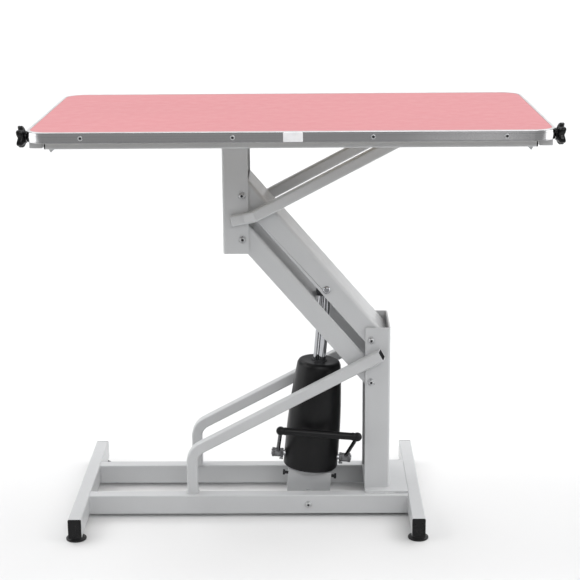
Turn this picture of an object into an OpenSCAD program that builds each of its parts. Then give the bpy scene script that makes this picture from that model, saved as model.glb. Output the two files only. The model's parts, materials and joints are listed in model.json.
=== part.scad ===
// Hydraulic grooming table. Origin on the floor under the middle of the table top.
// +X is the long side, -Y is the side with the pedal, +Z is up. Millimetres.

/* [Table top] */
// Length of the table top along X
table_l = 1100; // [1060:10:1140]
// Width of the table top along Y
table_w = 600; // [580:10:640]
// Radius of the table top's corners
corner_r = 50; // [30:1:70]
// Thickness of the board under the mat
board_t = 16; // [14:1:18]
// Thickness of the mat
mat_t = 2; // [1.5:0.5:3]
// Height of the aluminium edge trim
trim_h = 23; // [21:1:25]
// Width of the trim's lip over the mat
trim_lip = 7; // [4:1:10]
// Height of the table top above the head column's upper pivot
head_rise = 178.6; // [176:0.1:190]

/* [Base] */
// Length of the base along X
base_l = 800; // [780:10:840]
// Length of the foot rails along Y
base_w = 500; // [460:10:560]
// Middle of the base along X
base_x = -105; // [-120:5:-90]
// Width of the base rails
rail_w = 30; // [28:1:32]
// Height of the base rails
rail_h = 46; // [44:1:48]
// Distance between the middles of the two long rails
rail_gap = 190; // [188:1:196]
// Diameter of a levelling foot
foot_d = 46; // [40:1:50]

/* [Lift] */
// Angle of the arms above horizontal at rest, their highest position
arm_angle = 49.3; // [48:0.1:50]
// Length of each arm between its pivots
arm_l = 445; // [440:1:450]
// Height of the base column's upper pivot
pivot_z = 417; // [412:1:420]
// Distance between the upper and lower pivots of a column
pivot_gap = 100; // [100:1:104]
// Outside width of the columns along Y
column_w = 150; // [150:1:154]
// Diameter of the pivot bolts
bolt_d = 12; // [11:0.5:12.5]

/* [Pump] */
// Distance of the rod pin from the base pivot, along the upper arm
pin_l = 156; // [154:1:158]
// Largest radius of the pump cover
cover_r = 64; // [63:0.5:65]
// Height of the cover's top above the pump pivot, along the pump
cover_top = 319; // [317:1:321]
// Diameter of the piston rod
rod_d = 20; // [18:1:20]
// Diameter of the guide rod
guide_d = 9; // [7:1:9]

/* [Hidden] */
$fn = 64;
fit = 0.05;
slack = 0.1;

// Colours
paint = [0.80, 0.81, 0.83];
chrome = [0.75, 0.76, 0.78];
zinc = [0.60, 0.61, 0.63];
black = [0.10, 0.10, 0.11];
alu = [0.70, 0.71, 0.72];
pink = [0.93, 0.66, 0.68];
wood = [0.72, 0.60, 0.45];
nylon = [0.90, 0.90, 0.88];

// Sections shared by several pieces
tube_t = 2;
tube_r = 3;
stay_w = 25;
sheet_t = 4;
column_depth = 57.5;
column_r = 6;
pad_h = 8;
plate_t = 6;

// Base
rail_z = pad_h + rail_h/2;
rail_top = pad_h + rail_h;
left_x = base_x - base_l/2 + rail_w/2;
right_x = base_x + base_l/2 - rail_w/2;
inner_l = base_l - 2*rail_w;
rail_y = rail_gap/2;
plug_t = 3;
foot_y = base_w/2 - 22;
stud_r = 5;

// Lift: the four pivots, as [x, z]
q1 = [base_x + 284, pivot_z];
q2 = [q1[0], pivot_z - pivot_gap];
arm_run = arm_l*cos(arm_angle);
arm_rise = arm_l*sin(arm_angle);
p1 = [q1[0] - arm_run, q1[1] + arm_rise];
p2 = [q2[0] - arm_run, q2[1] + arm_rise];
pivot_back = 43.5;
bolt_r = bolt_d/2;
arm_half = column_w/2 - sheet_t - 2;
arm_low = 14;
upper_top = 33;
lower_top = 32;
arm_end = 16;
arm_r = 9;
web_start = 230;
sleeve_r = 11;

// Table top, from the top down
table_z = p1[1] + head_rise;
lip_t = 1;
mat_swell = 0.6;
board_top = table_z - lip_t - mat_t;
board_low = board_top - board_t;
trim_t = 2.5;
frame_h = 19;
frame_w = 30;
frame_low = board_low - frame_h;
frame_x = table_l/2 - 42;
frame_y = table_w/2 - 35;
head_x = p1[0] - 14;
brace_x = 265;
cross_x = [-485, head_x, brace_x, 485];
head_low = p2[1] - 33;
brace_angle = 27.6;
screw_x = [-432, -119, 170, 444];
screw_y = [-160, 160];
screw_z = table_z - 12;
screw_r = 1.8;

// Clamp knobs
knob_y = -245;
knob_z = table_z - 17;
knob_r = 24;
knob_thread = 5;
block_l = 28;
block_w = 40;
block_x = table_l/2 - 20;
block_top = knob_z + 8;

// Pump: its axis runs from its pivot to the rod pin
pump_x = base_x + 138.5;
pin = [q1[0] - pin_l*cos(arm_angle), q1[1] + pin_l*sin(arm_angle)];
pump_tilt = atan2(pin[0] - pump_x, pin[1] - rail_z);
pump_l = norm([pin[0] - pump_x, pin[1] - rail_z]);
cradle_w = 101;
cradle_y = 42;
cradle_t = 5;
cradle_low = 18;
floor_s = 22;
base_s = 26;
cover_s = 57;
boss_s = 104;
gland_s = 306;
cover_t = 3;
cover_mid = 90;
cover_bow = 3714;
cover_round = 6;
collar_r = 18;
rod_t = 4.5;
guide_at = [-10.5, -6];
rod_low = 250;
guide_low = 240;
head_s = 476;
eye_r = 21;
slot_w = 27.4;
slot_h = 20.8;

// Pedal, in the pump's own frame: [across, along Y, up the pump]
rocker_y = -12;
rocker_s = 86;
rocker_r = 7;
clamp_x = 79.5;
clamp_w = 27;
bar_y = -90;
bar_s = 168;
bar_left = -76;
bar_right = 98;
bar_r = 8.5;
ball_r = 10.5;
pedal_r = 4.5;
plunger_y = rocker_y - 16;
plunger_r = 6;
plunger_top = rocker_s - 4.7;
plunger_low = 56;
bore_low = 35;

// ---- Shared shapes ----

module rounded(w, h, r) {
    square([w - 2*r, h], center = true);
    square([w, h - 2*r], center = true);
    for (x = [-1, 1], y = [-1, 1]) {
        translate([x*(w/2 - r), y*(h/2 - r)]) circle(r);
    }
}

module tube_section(w, h, r, t) {
    difference() {
        rounded(w, h, r);
        rounded(w - 2*t, h - 2*t, r - t);
    }
}

// A cap with a round-edged web along y = 0 and legs going down
module cap(w, h, r) {
    translate([-w/2, -h]) square([w, h - r]);
    translate([-w/2 + r, -h]) square([w - 2*r, h]);
    for (s = [-1, 1]) translate([s*(w/2 - r), -r]) circle(r);
}

module channel(w, h, t, r) {
    difference() {
        cap(w, h, r);
        translate([0, -t]) cap(w - 2*t, h, r - t);
    }
}

module along_x(l) {
    rotate([90, 0, 90]) linear_extrude(l, center = true) children();
}

module along_y(l) {
    rotate([90, 0, 0]) linear_extrude(l, center = true) children();
}

// A round bar along Y between two values of y
module y_bar(x, z, r, y0, y1, sides = $fn) {
    translate([x, y1, z]) rotate([90, 0, 0]) cylinder(h = y1 - y0, r = r, $fn = sides);
}

// A round bar along X between two values of x
module x_bar(y, z, r, x0, x1, sides = $fn) {
    translate([x0, y, z]) rotate([0, 90, 0]) cylinder(h = x1 - x0, r = r, $fn = sides);
}

// A round bar from point a towards point b, from distance d0 to distance d1
module point_bar(a, b, r, d0, d1) {
    v = b - a;
    translate(a) rotate([0, acos(v[2]/norm(v)), atan2(v[1], v[0])]) {
        translate([0, 0, d0]) cylinder(h = d1 - d0, r = r);
    }
}

module button_bolt(x, z, y0, y1) {
    difference() {
        union() {
            y_bar(x, z, bolt_r, y0, y1);
            y_bar(x, z, 9, y0 - 2.5, y0);
            y_bar(x, z, 7.5, y0 - 5, y0 - 2.5);
        }
        y_bar(x, z, 4, y0 - 6, y0 - 2, 6);
    }
}

module hex_nut(x, z, y0, h) {
    difference() {
        y_bar(x, z, bolt_r + 5, y0, y0 + h, 6);
        y_bar(x, z, bolt_r, y0 - 1, y0 + h + 1);
    }
}

module pivot_washer(x, z, side) {
    y = side*(arm_half + 1);
    difference() {
        y_bar(x, z, 14, y - 0.9, y + 0.9);
        y_bar(x, z, bolt_r + slack, y - 2, y + 2);
    }
}

module pump_frame() {
    translate([pump_x, 0, rail_z]) rotate([0, pump_tilt, 0]) children();
}

// Local +X runs from the base pivot to the head pivot, local +Z is square to the arm
module arm_frame(q) {
    translate([q[0], 0, q[1]]) rotate([0, arm_angle, 0]) rotate([0, 0, 180]) children();
}

// ---- Base ----

module foot_rail(x) {
    color(paint) difference() {
        translate([x, 0, rail_z]) along_y(base_w - 2*plug_t) {
            tube_section(rail_w, rail_h, tube_r, tube_t);
        }
        for (s = [-1, 1]) {
            translate([x, s*foot_y, pad_h - 1]) cylinder(h = tube_t + 2, r = stud_r + fit);
        }
    }
}

module foot_rail_left() {
    foot_rail(left_x);
}

module foot_rail_right() {
    foot_rail(right_x);
}

module base_rail(y) {
    color(paint) difference() {
        translate([base_x, y, rail_z]) along_x(inner_l) {
            tube_section(rail_w, rail_h, tube_r, tube_t);
        }
        y_bar(pump_x, rail_z, bolt_r + slack, y - rail_w, y + rail_w);
    }
}

module base_rail_front() {
    base_rail(-rail_y);
}

module base_rail_rear() {
    base_rail(rail_y);
}

module column_plate() {
    plate_l = base_x + base_l/2 - rail_w - q1[0] + column_depth - pivot_back;
    color(paint) translate([base_x + base_l/2 - rail_w - plate_l, -100, rail_top]) {
        cube([plate_l, 200, plate_t]);
    }
}

module base_column() {
    low = rail_top + plate_t;
    color(paint) difference() {
        translate([q1[0] + pivot_back, 0, low]) rotate(-90) linear_extrude(pivot_z + 30 - low) {
            channel(column_w, column_depth, sheet_t, column_r);
        }
        for (q = [q1, q2]) y_bar(q[0], q[1], bolt_r + slack, -column_w, column_w);
    }
}

// One side of a bent tube's outline: a straight, an arc about c and another straight
function bent_edge(c, r, a0, a1, before, after) = let (
    turn = sign(a1 - a0),
    steps = 12,
    spots = [for (i = [0:steps]) let (a = a0 + (a1 - a0)*i/steps) c + r*[cos(a), sin(a)]],
    first = turn*[-sin(a0), cos(a0)],
    last = turn*[-sin(a1), cos(a1)]
) concat([spots[0] - before*first], spots, [spots[steps] + after*last]);

// A square tube bent in the XZ plane; the arc's middle line has radius bend
module bent_tube(c, bend, a0, a1, before, after) {
    difference() {
        bent_bar(c, bend, a0, a1, before, after, stay_w/2);
        bent_bar(c, bend, a0, a1, before + 1, after + 1, stay_w/2 - tube_t);
    }
}

module bent_bar(c, bend, a0, a1, before, after, half) {
    outer = bent_edge(c, bend + half, a0, a1, before, after);
    inner = bent_edge(c, bend - half, a0, a1, before, after);
    count = len(inner);
    back = [for (i = [1:count]) inner[count - i]];
    along_y(2*half) polygon(concat(outer, back));
}

// The leg stands on the rail, bends over and runs up to the column's side
module stay(side) {
    rise = 28;
    bend = 40;
    leg_x = base_x - 130.5;
    z_bend = 130;
    end_x = q1[0] + 23;
    color(paint) translate([0, side*(column_w/2 + stay_w/2), 0]) difference() {
        bent_tube([leg_x + bend, z_bend], bend, 180, 90 + rise, z_bend - rail_top, 500);
        translate([end_x, 0, pivot_z - 30]) rotate([0, 0, side*17]) rotate([0, -rise, 0]) {
            translate([0, -50, -100]) cube([200, 100, 200]);
        }
    }
}

module stay_front() {
    stay(-1);
}

module stay_rear() {
    stay(1);
}

module foot_rail_plugs() {
    color(black) for (x = [left_x, right_x], s = [-1, 1]) {
        translate([x, s*(base_w/2 - plug_t/2), rail_z]) along_y(plug_t) {
            rounded(rail_w, rail_h, tube_r);
        }
        translate([x, s*(base_w/2 - plug_t - 4.5), rail_z]) along_y(9) {
            rounded(rail_w - 2*tube_t, rail_h - 2*tube_t, tube_r - tube_t);
        }
    }
}

module pump_pivot_bolt() {
    y = rail_y + rail_w/2;
    color(zinc) button_bolt(pump_x, rail_z, -y, y + 14);
}

module pump_spacers() {
    color(zinc) for (s = [0, 1]) mirror([0, s, 0]) difference() {
        y_bar(pump_x, rail_z, 10, cradle_y + 0.2, rail_y - rail_w/2);
        y_bar(pump_x, rail_z, bolt_r + slack, cradle_y - 1, rail_y);
    }
}

module base_pivot_bolts() {
    color(zinc) for (q = [q1, q2]) button_bolt(q[0], q[1], -column_w/2, column_w/2 + 14);
}

module base_nuts() {
    color(zinc) {
        for (q = [q1, q2]) hex_nut(q[0], q[1], column_w/2, 10);
        hex_nut(pump_x, rail_z, rail_y + rail_w/2, 10);
    }
}

module base_pivot_washers() {
    color(nylon) for (q = [q1, q2], s = [-1, 1]) pivot_washer(q[0], q[1], s);
}

module levelling_foot(x, y) {
    color(black) translate([x, y, 0]) rotate_extrude() {
        polygon([[0, 0], [foot_d/2 - 1, 0], [foot_d/2, 1], [foot_d/2, 4], [foot_d/2 - 5, pad_h - slack],
            [stud_r, pad_h - slack], [stud_r, 36], [stud_r - 1, 37], [0, 37]]);
    }
}

module foot_front_left() {
    levelling_foot(left_x, -foot_y);
}

module foot_front_right() {
    levelling_foot(right_x, -foot_y);
}

module foot_rear_left() {
    levelling_foot(left_x, foot_y);
}

module foot_rear_right() {
    levelling_foot(right_x, foot_y);
}

// ---- Pump ----

module cradle_box(s0, s1, inset) {
    w = cradle_w - 2*inset;
    d = 2*cradle_y - 2*inset;
    translate([-w/2, -d/2, s0]) cube([w, d, s1 - s0]);
}

module pump_cradle() {
    color(paint) pump_frame() difference() {
        cradle_box(-cradle_low, cover_s - 1, 0);
        cradle_box(base_s, cover_s, cradle_t);
        translate([-cradle_w, cradle_t - cradle_y, -cradle_low - 1]) {
            cube([2*cradle_w, 2*(cradle_y - cradle_t), floor_s + cradle_low + 1]);
        }
        y_bar(0, 0, bolt_r + fit, -cradle_w, cradle_w);
        x_bar(-15, 38, 3.5, -cradle_w, cradle_w);
    }
}

module rocker_bore(r) {
    x_bar(rocker_y, rocker_s, r, -cradle_w, cradle_w);
}

module pump_base() {
    color(zinc) pump_frame() difference() {
        union() {
            cradle_box(base_s, cover_s - 1, cradle_t);
            translate([0, 0, cover_s - 1]) {
                cylinder(h = 9, r = cover_radius(cover_s) - cover_t - 0.3);
                cylinder(h = boss_s - cover_s + 1, r = 45);
            }
        }
        rocker_bore(rocker_r + fit);
        translate([-10.5, -46, 68]) cube([21, rocker_y + 11 + 46, boss_s]);
        translate([0, plunger_y, bore_low]) cylinder(h = boss_s, r = plunger_r + fit);
        x_bar(-15, 38, 3.5, -cradle_w, -cradle_w/2 + 20);
        x_bar(-15, 38, 3.5, cradle_w/2 - 20, cradle_w);
    }
}

module cradle_bolts() {
    color(zinc) pump_frame() for (s = [0, 180]) {
        rotate(s) translate([0, s == 0 ? -15 : 15, 0]) {
            x_bar(0, 38, 3.5, cradle_w/2 - 19, cradle_w/2 + 8);
            x_bar(0, 38, 7, cradle_w/2 + 8, cradle_w/2 + 13, 6);
        }
    }
}

module reservoir_tube() {
    color(zinc) pump_frame() translate([0, 0, boss_s]) difference() {
        cylinder(h = gland_s - boss_s, r = 44);
        translate([0, 0, -1]) cylinder(h = gland_s, r = 42);
    }
}

module rod_bores(r_add, s0, s1) {
    translate([rod_t, 0, s0]) cylinder(h = s1 - s0, r = rod_d/2 + r_add);
    translate([guide_at[0], guide_at[1], s0]) cylinder(h = s1 - s0, r = guide_d/2 + r_add);
}

module cylinder_block() {
    color(zinc) pump_frame() difference() {
        translate([0, 0, boss_s]) cylinder(h = gland_s - boss_s, r = 22);
        rod_bores(0.25, boss_s + 6, gland_s + 1);
    }
}

module gland_plate() {
    color(zinc) pump_frame() difference() {
        union() {
            translate([0, 0, gland_s]) cylinder(h = 8, r = 44);
            translate([0, 0, gland_s]) cylinder(h = cover_top - gland_s + 1, r = collar_r);
        }
        rod_bores(fit, gland_s - 1, cover_top + 2);
    }
}

// Radius of the cover at a height s up the pump
function cover_radius(s) = cover_r - pow(s - cover_mid, 2)/cover_bow;

// Outline of the cover, thinned by t, with a rounded top edge
function cover_outline(t) = let (
    top = cover_top - t,
    round_r = cover_round - t/2,
    edge_r = cover_radius(top) - t
) concat(
    [[0, cover_s - (t > 0 ? 1 : 0)]],
    [for (i = [0:16]) let (s = cover_s + i/16*(top - round_r - cover_s))
        [cover_radius(s) - t, i == 0 && t > 0 ? cover_s - 1 : s]],
    [for (a = [15:15:90]) [edge_r - round_r*(1 - cos(a)), top - round_r*(1 - sin(a))]],
    [[0, top]]
);

module pump_cover() {
    color(black) pump_frame() difference() {
        rotate_extrude($fn = 96) polygon(cover_outline(0));
        rotate_extrude($fn = 96) polygon(cover_outline(cover_t));
        cylinder(h = cover_top + 1, r = collar_r + 0.3);
        rocker_bore(rocker_r + 2);
    }
}

// A coil spring swept as a tube with eight sides
module plunger_spring() {
    turns = 6;
    steps = 12;
    wire = 0.7;
    sides = 8;
    coil = plunger_r - wire - 0.6;
    low = bore_low + wire + 0.3;
    high = plunger_low - wire - 0.3;
    count = turns*steps;
    points = [for (i = [0:count], j = [0:sides - 1]) let (
        a = 360*i/steps,
        b = 360*j/sides,
        r = coil + wire*cos(b)
    ) [r*cos(a), r*sin(a), low + (high - low)*i/count + wire*sin(b)]];
    walls = [for (i = [0:count - 1], j = [0:sides - 1]) let (k = (j + 1) % sides)
        [i*sides + j, (i + 1)*sides + j, (i + 1)*sides + k, i*sides + k]];
    ends = [[for (j = [0:sides - 1]) j], [for (j = [sides - 1:-1:0]) count*sides + j]];
    color(zinc) pump_frame() translate([0, plunger_y, 0]) {
        polyhedron(points, concat(walls, ends));
    }
}

module pump_plunger() {
    color(chrome) pump_frame() translate([0, plunger_y, plunger_low]) {
        cylinder(h = plunger_top - plunger_low, r = plunger_r);
    }
}

module piston_rod() {
    color(chrome) pump_frame() translate([rod_t, 0, rod_low]) {
        cylinder(h = head_s + 10 - rod_low, r = rod_d/2);
    }
}

module guide_rod() {
    color(chrome) pump_frame() translate([guide_at[0], guide_at[1], guide_low]) {
        cylinder(h = head_s + 10 - guide_low, r = guide_d/2);
    }
}

// The eye's slot is the open pivot of the lift: the rod pin moves about in it
module rod_head() {
    color(zinc) pump_frame() difference() {
        union() {
            translate([0, 0, pump_l]) along_y(24) circle(eye_r);
            translate([-eye_r, -12, head_s]) cube([2*eye_r, 24, pump_l - head_s]);
        }
        translate([0, 0, pump_l]) along_y(30) rounded(slot_w, slot_h, 5);
        rod_bores(0, head_s - 1, head_s + 10);
    }
}

// ---- Pedal ----

function bar_end(side) = [side < 0 ? bar_left : bar_right, bar_y, bar_s];
function arm_foot(side) = [side*clamp_x, rocker_y, rocker_s];

module pedal_rod(side, r, d0, short) {
    a = arm_foot(side);
    b = bar_end(side);
    point_bar(a, b, r, d0, norm(b - a) - short);
}

module rocker_shaft() {
    color(chrome) pump_frame() {
        x_bar(rocker_y, rocker_s, rocker_r, -clamp_x - clamp_w/2 - 2, clamp_x + clamp_w/2 + 2);
        x_bar(rocker_y, rocker_s, 10.5, -8, 8);
        translate([-8, rocker_y - 22, rocker_s - 4]) cube([16, 22, 8]);
    }
}

module pedal_clamps() {
    color(chrome) pump_frame() for (s = [-1, 1]) difference() {
        translate([s*clamp_x - clamp_w/2, rocker_y - 10, rocker_s - 9]) cube([clamp_w, 20, 18]);
        rocker_bore(rocker_r);
        pedal_rod(s, pedal_r, 0, 0);
        translate([s*(clamp_x - 9), rocker_y, 0]) cylinder(h = rocker_s, r = 2.5);
    }
}

module pedal_screws() {
    color(zinc) pump_frame() for (s = [-1, 1]) {
        translate([s*(clamp_x - 9), rocker_y, rocker_s - 13]) cylinder(h = 5.9, r = 2.5);
        translate([s*(clamp_x - 9), rocker_y, rocker_s - 16]) cylinder(h = 3, r = 4.5);
    }
}

module pedal_arm_left() {
    color(black) pump_frame() pedal_rod(-1, pedal_r, rocker_r + 2, 7.5);
}

module pedal_arm_right() {
    color(black) pump_frame() pedal_rod(1, pedal_r, rocker_r + 2, 7.5);
}

module pedal_bar() {
    color(black) pump_frame() x_bar(bar_y, bar_s, bar_r, bar_left + 7, bar_right - 7);
}

module pedal_ends() {
    color(black) pump_frame() for (s = [-1, 1]) difference() {
        translate(bar_end(s)) rotate([0, 90, 0]) sphere(ball_r);
        x_bar(bar_y, bar_s, bar_r, bar_left + 7, bar_right - 7);
        pedal_rod(s, pedal_r, rocker_r + 2, 7.5);
    }
}

// ---- Arms ----

module arm_channel(high, start) {
    l = arm_l + 2*arm_end;
    difference() {
        translate([arm_l/2, 0, high]) along_x(l) channel(2*arm_half, high + arm_low, sheet_t, arm_r);
        for (x = [0, arm_l]) y_bar(x, 0, sleeve_r, -column_w, column_w);
        if (start > 0) {
            translate([-arm_end - 1, sheet_t - arm_half, high - arm_r]) {
                cube([start + arm_end + 1, 2*(arm_half - sheet_t), arm_r + 1]);
            }
        }
    }
}

module arm_sleeves() {
    for (x = [0, arm_l]) difference() {
        y_bar(x, 0, sleeve_r, -arm_half, arm_half);
        y_bar(x, 0, bolt_r + fit, -column_w, column_w);
    }
}

module upper_arm() {
    color(paint) arm_frame(q1) difference() {
        arm_channel(upper_top, 0);
        y_bar(pin_l, 0, bolt_r, -column_w, column_w);
    }
}

module upper_arm_sleeves() {
    color(zinc) arm_frame(q1) arm_sleeves();
}

module rod_pin() {
    color(chrome) arm_frame(q1) {
        y_bar(pin_l, 0, bolt_r, -arm_half - 12, arm_half);
        y_bar(pin_l, 0, 9, arm_half, arm_half + 2);
        translate([pin_l, arm_half + 2, 0]) rotate([-90, 0, 0]) cylinder(h = 3, r1 = 9, r2 = 6);
    }
}

module rod_pin_nut() {
    color(zinc) arm_frame(q1) hex_nut(pin_l, 0, -arm_half - 10, 10);
}

// Two side plates joined by a web over the upper part only, so that it clears the pump
module lower_arm() {
    color(paint) arm_frame(q2) arm_channel(lower_top, web_start);
}

module lower_arm_sleeves() {
    color(zinc) arm_frame(q2) arm_sleeves();
}

// ---- Head ----

module head_column() {
    color(paint) difference() {
        translate([p1[0] - pivot_back, 0, head_low]) rotate(90) {
            linear_extrude(frame_low - plate_t - head_low) {
                channel(column_w, column_depth, sheet_t, column_r);
            }
        }
        for (p = [p1, p2]) y_bar(p[0], p[1], bolt_r + slack, -column_w, column_w);
    }
}

module head_plate() {
    color(paint) translate([head_x - 65, -100, frame_low - plate_t]) cube([130, 200, plate_t]);
}

// The foot of each brace leans flatter than the rest and lies on the column's side
module braces() {
    foot_angle = 10;
    foot_l = 30;
    bend = 100;
    foot = [p1[0] - 26, p1[1] - 56];
    middle = foot + foot_l*[cos(foot_angle), sin(foot_angle)] + bend*[-sin(foot_angle), cos(foot_angle)];
    color(paint) for (s = [-1, 1]) translate([0, s*(column_w/2 + stay_w/2), 0]) difference() {
        bent_tube(middle, bend, foot_angle - 90, brace_angle - 90, foot_l, 480);
        translate([brace_x, 0, frame_low + 250]) cube([800, 60, 500], center = true);
    }
}

module head_pivot_bolts() {
    color(zinc) for (p = [p1, p2]) button_bolt(p[0], p[1], -column_w/2, column_w/2 + 14);
}

module head_nuts() {
    color(zinc) for (p = [p1, p2]) hex_nut(p[0], p[1], column_w/2, 10);
}

module head_pivot_washers() {
    color(nylon) for (p = [p1, p2], s = [-1, 1]) pivot_washer(p[0], p[1], s);
}

module frame_rails() {
    color(paint) for (s = [-1, 1]) {
        translate([0, s*frame_y, frame_low + frame_h/2]) along_x(2*frame_x) {
            tube_section(frame_w, frame_h, tube_r, tube_t);
        }
    }
}

module cross_rails() {
    color(paint) for (x = cross_x) {
        translate([x, 0, frame_low + frame_h/2]) along_y(2*frame_y - frame_w) {
            tube_section(frame_w, frame_h, tube_r, tube_t);
        }
    }
}

module frame_plugs() {
    color(black) for (x = [-1, 1], y = [-1, 1]) {
        translate([x*(frame_x + 1.5), y*frame_y, frame_low + frame_h/2]) along_x(3) {
            rounded(frame_w, frame_h, tube_r);
        }
        translate([x*(frame_x - 5), y*frame_y, frame_low + frame_h/2]) along_x(10) {
            rounded(frame_w - 2*tube_t, frame_h - 2*tube_t, tube_r - tube_t);
        }
    }
}

module hook_tabs() {
    color(paint) for (x = [-1, 1], y = [-1, 1]) {
        translate([x*498, y*frame_y, frame_low]) scale([x, 1, 1]) along_y(3) {
            polygon([[-8, 0], [6, 0], [2, -8], [0, -8]]);
        }
    }
}

module knob_hole(r) {
    x_bar(knob_y, knob_z, r, -table_l, table_l);
}

module nut_blocks() {
    color(paint) difference() {
        for (s = [-1, 1]) {
            translate([s*block_x - block_l/2, knob_y - block_w/2, frame_low]) {
                cube([block_l, block_w, block_top - frame_low]);
            }
        }
        knob_hole(knob_thread + fit);
    }
}

module trim_screw_places() {
    for (x = screw_x) {
        translate([x, -table_w/2, screw_z]) rotate([90, 0, 0]) children();
        translate([x, table_w/2, screw_z]) rotate([-90, 0, 0]) children();
    }
    for (y = screw_y) {
        translate([-table_l/2, y, screw_z]) rotate([0, -90, 0]) children();
        translate([table_l/2, y, screw_z]) rotate([0, 90, 0]) children();
    }
}

module trim_screw_holes() {
    trim_screw_places() translate([0, 0, -14]) cylinder(h = 20, r = screw_r, $fn = 24);
}

module table_board() {
    color(wood) difference() {
        translate([0, 0, board_low]) linear_extrude(board_t) {
            rounded(table_l - 2*trim_t, table_w - 2*trim_t, corner_r - trim_t);
        }
        for (s = [-1, 1]) {
            translate([s*table_l/2 - 35, knob_y - block_w/2 - slack, board_low - 1]) {
                cube([70, block_w + 2*slack, block_top - board_low + 1]);
            }
        }
        trim_screw_holes();
    }
}

// The trim's lip presses the mat's edge down, so the middle stands a little higher
module table_mat() {
    inset = trim_lip + 0.5;
    color(pink) translate([0, 0, board_top]) {
        linear_extrude(mat_t) rounded(table_l - 2*trim_t, table_w - 2*trim_t, corner_r - trim_t);
        linear_extrude(mat_t + mat_swell) {
            rounded(table_l - 2*inset, table_w - 2*inset, corner_r - inset);
        }
    }
}

module edge_trim() {
    color(alu) difference() {
        translate([0, 0, table_z - trim_h]) linear_extrude(trim_h) {
            rounded(table_l, table_w, corner_r);
        }
        translate([0, 0, table_z - trim_h - 1]) linear_extrude(trim_h + 1 - lip_t) {
            rounded(table_l - 2*trim_t, table_w - 2*trim_t, corner_r - trim_t);
        }
        translate([0, 0, table_z - 5]) linear_extrude(10) {
            rounded(table_l - 2*trim_lip, table_w - 2*trim_lip, corner_r - trim_lip);
        }
        knob_hole(knob_thread + 0.5);
        trim_screw_holes();
    }
}

module trim_screws() {
    color(zinc) trim_screw_places() {
        translate([0, 0, -13]) cylinder(h = 13, r = screw_r, $fn = 24);
        cylinder(h = 1.6, r1 = 4, r2 = 3, $fn = 32);
    }
}

// A lobed hand knob on a threaded stud
module clamp_knob(side) {
    lobes = 5;
    color(black) scale([side, 1, 1]) translate([table_l/2 + 1, knob_y, knob_z]) {
        rotate([0, 90, 0]) {
            cylinder(h = 6, r = 13);
            translate([0, 0, 5]) linear_extrude(16) {
                circle(16);
                for (i = [0:lobes - 1]) rotate(360*i/lobes) translate([knob_r - 7, 0]) circle(7);
            }
            translate([0, 0, -26]) cylinder(h = 27, r = knob_thread);
        }
    }
}

module clamp_knob_left() {
    clamp_knob(-1);
}

module clamp_knob_right() {
    clamp_knob(1);
}

foot_rail_left();
foot_rail_right();
base_rail_front();
base_rail_rear();
column_plate();
base_column();
stay_front();
stay_rear();
foot_rail_plugs();
pump_pivot_bolt();
pump_spacers();
base_pivot_bolts();
base_nuts();
base_pivot_washers();
foot_front_left();
foot_front_right();
foot_rear_left();
foot_rear_right();
pump_cradle();
pump_base();
cradle_bolts();
reservoir_tube();
cylinder_block();
gland_plate();
pump_cover();
plunger_spring();
pump_plunger();
piston_rod();
guide_rod();
rod_head();
rocker_shaft();
pedal_clamps();
pedal_screws();
pedal_arm_left();
pedal_arm_right();
pedal_bar();
pedal_ends();
upper_arm();
upper_arm_sleeves();
rod_pin();
rod_pin_nut();
lower_arm();
lower_arm_sleeves();
head_column();
head_plate();
braces();
head_pivot_bolts();
head_nuts();
head_pivot_washers();
frame_rails();
cross_rails();
frame_plugs();
hook_tabs();
nut_blocks();
table_board();
table_mat();
edge_trim();
trim_screws();
clamp_knob_left();
clamp_knob_right();
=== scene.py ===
"""Looks of the hydraulic grooming table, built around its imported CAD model. Metres, +Z up."""

import json
import math

import bmesh
import bpy
from mathutils import Matrix, Vector

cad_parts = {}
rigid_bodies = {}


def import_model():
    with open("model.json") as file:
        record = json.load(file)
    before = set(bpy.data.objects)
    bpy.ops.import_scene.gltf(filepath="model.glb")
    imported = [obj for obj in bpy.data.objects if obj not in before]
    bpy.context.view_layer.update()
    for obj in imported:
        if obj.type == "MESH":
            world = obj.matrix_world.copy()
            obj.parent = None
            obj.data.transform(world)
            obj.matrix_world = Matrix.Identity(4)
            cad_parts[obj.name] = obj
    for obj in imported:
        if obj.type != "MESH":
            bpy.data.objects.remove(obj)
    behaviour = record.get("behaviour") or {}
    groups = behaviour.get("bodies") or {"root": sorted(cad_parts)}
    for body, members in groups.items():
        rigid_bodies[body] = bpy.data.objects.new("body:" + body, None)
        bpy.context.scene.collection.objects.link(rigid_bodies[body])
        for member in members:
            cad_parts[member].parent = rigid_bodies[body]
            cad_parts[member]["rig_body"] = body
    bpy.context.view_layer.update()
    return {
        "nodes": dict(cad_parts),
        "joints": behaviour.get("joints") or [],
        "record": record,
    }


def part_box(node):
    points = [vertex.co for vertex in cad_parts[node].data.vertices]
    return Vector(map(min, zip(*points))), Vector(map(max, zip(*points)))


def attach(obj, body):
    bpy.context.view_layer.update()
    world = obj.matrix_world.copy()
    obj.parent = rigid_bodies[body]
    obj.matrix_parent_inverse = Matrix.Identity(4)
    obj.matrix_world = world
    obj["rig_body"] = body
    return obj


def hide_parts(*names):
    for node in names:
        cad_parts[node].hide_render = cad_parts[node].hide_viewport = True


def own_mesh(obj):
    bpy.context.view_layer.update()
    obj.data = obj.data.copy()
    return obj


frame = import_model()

JOINTS = {joint["name"]: joint for joint in frame["joints"]}
NODES = frame["nodes"]
X, Y, Z = Vector((1, 0, 0)), Vector((0, 1, 0)), Vector((0, 0, 1))

# Corners nearer to each other than this are one corner.
SAME_POINT = 0.00001
# Width of the underframe's tubes
FRAME_TUBE = 0.030


def pivot(joint):
    """The point of a hinge, in the row frame."""
    return Vector(JOINTS[joint]["pos_m"])


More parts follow.
